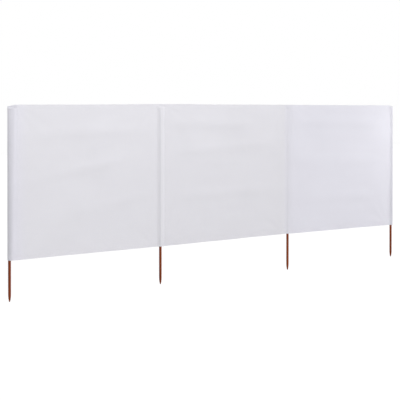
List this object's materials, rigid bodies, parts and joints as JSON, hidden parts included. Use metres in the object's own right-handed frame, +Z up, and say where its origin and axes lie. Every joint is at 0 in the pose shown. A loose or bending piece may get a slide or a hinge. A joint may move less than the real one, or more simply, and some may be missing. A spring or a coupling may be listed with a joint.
{
  "type": "beach windbreak",
  "caption": "Long pale cloth windbreak in equal bays, held upright by round pointed wooden poles in sewn pockets; the outer bays fold about the middle poles.",
  "frame": {"origin": "centre of the flat end of pole 2's point", "axes": "+X along the middle bay towards pole 3, +Z up the poles, -Y out of the cloth's face side; the outer bays stand turned 1 and 3 degrees from the middle one"},
  "size_m": [3.998, 0.1163, 1.525],
  "materials": {
    "cloth": "matt white polyester cloth",
    "wood": "reddish-brown stained round wood, satin"
  },
  "bodies": {
    "bay_1": {"pole_1": "wood", "pole_pocket_1": "cloth", "pocket_top_1": "cloth", "pocket_seam_1_right": "cloth", "bay_cloth_1": "cloth", "top_hem_1": "cloth", "bottom_hem_1": "cloth", "pocket_seam_2_left": "cloth"},
    "bay_2": {"pole_2": "wood", "pole_pocket_2": "cloth", "pocket_top_2": "cloth", "pocket_seam_2_right": "cloth", "bay_cloth_2": "cloth", "top_hem_2": "cloth", "bottom_hem_2": "cloth", "pocket_seam_3_left": "cloth", "pole_3": "wood", "pole_pocket_3": "cloth", "pocket_top_3": "cloth"},
    "bay_3": {"pocket_seam_3_right": "cloth", "bay_cloth_3": "cloth", "top_hem_3": "cloth", "bottom_hem_3": "cloth", "pocket_seam_4_left": "cloth", "pole_4": "wood", "pole_pocket_4": "cloth", "pocket_top_4": "cloth"}
  },
  "joints": [
    {"name": "bay_1_swing", "type": "hinge", "parent": "bay_2", "child": "bay_1", "pos_m": [0, 0, 0], "axis": [0, 0, 1], "range_deg": [-91, 164]},
    {"name": "bay_3_swing", "type": "hinge", "parent": "bay_2", "child": "bay_3", "pos_m": [1.32, 0, 0], "axis": [0, 0, 1], "range_deg": [-93, 162]}
  ]
}
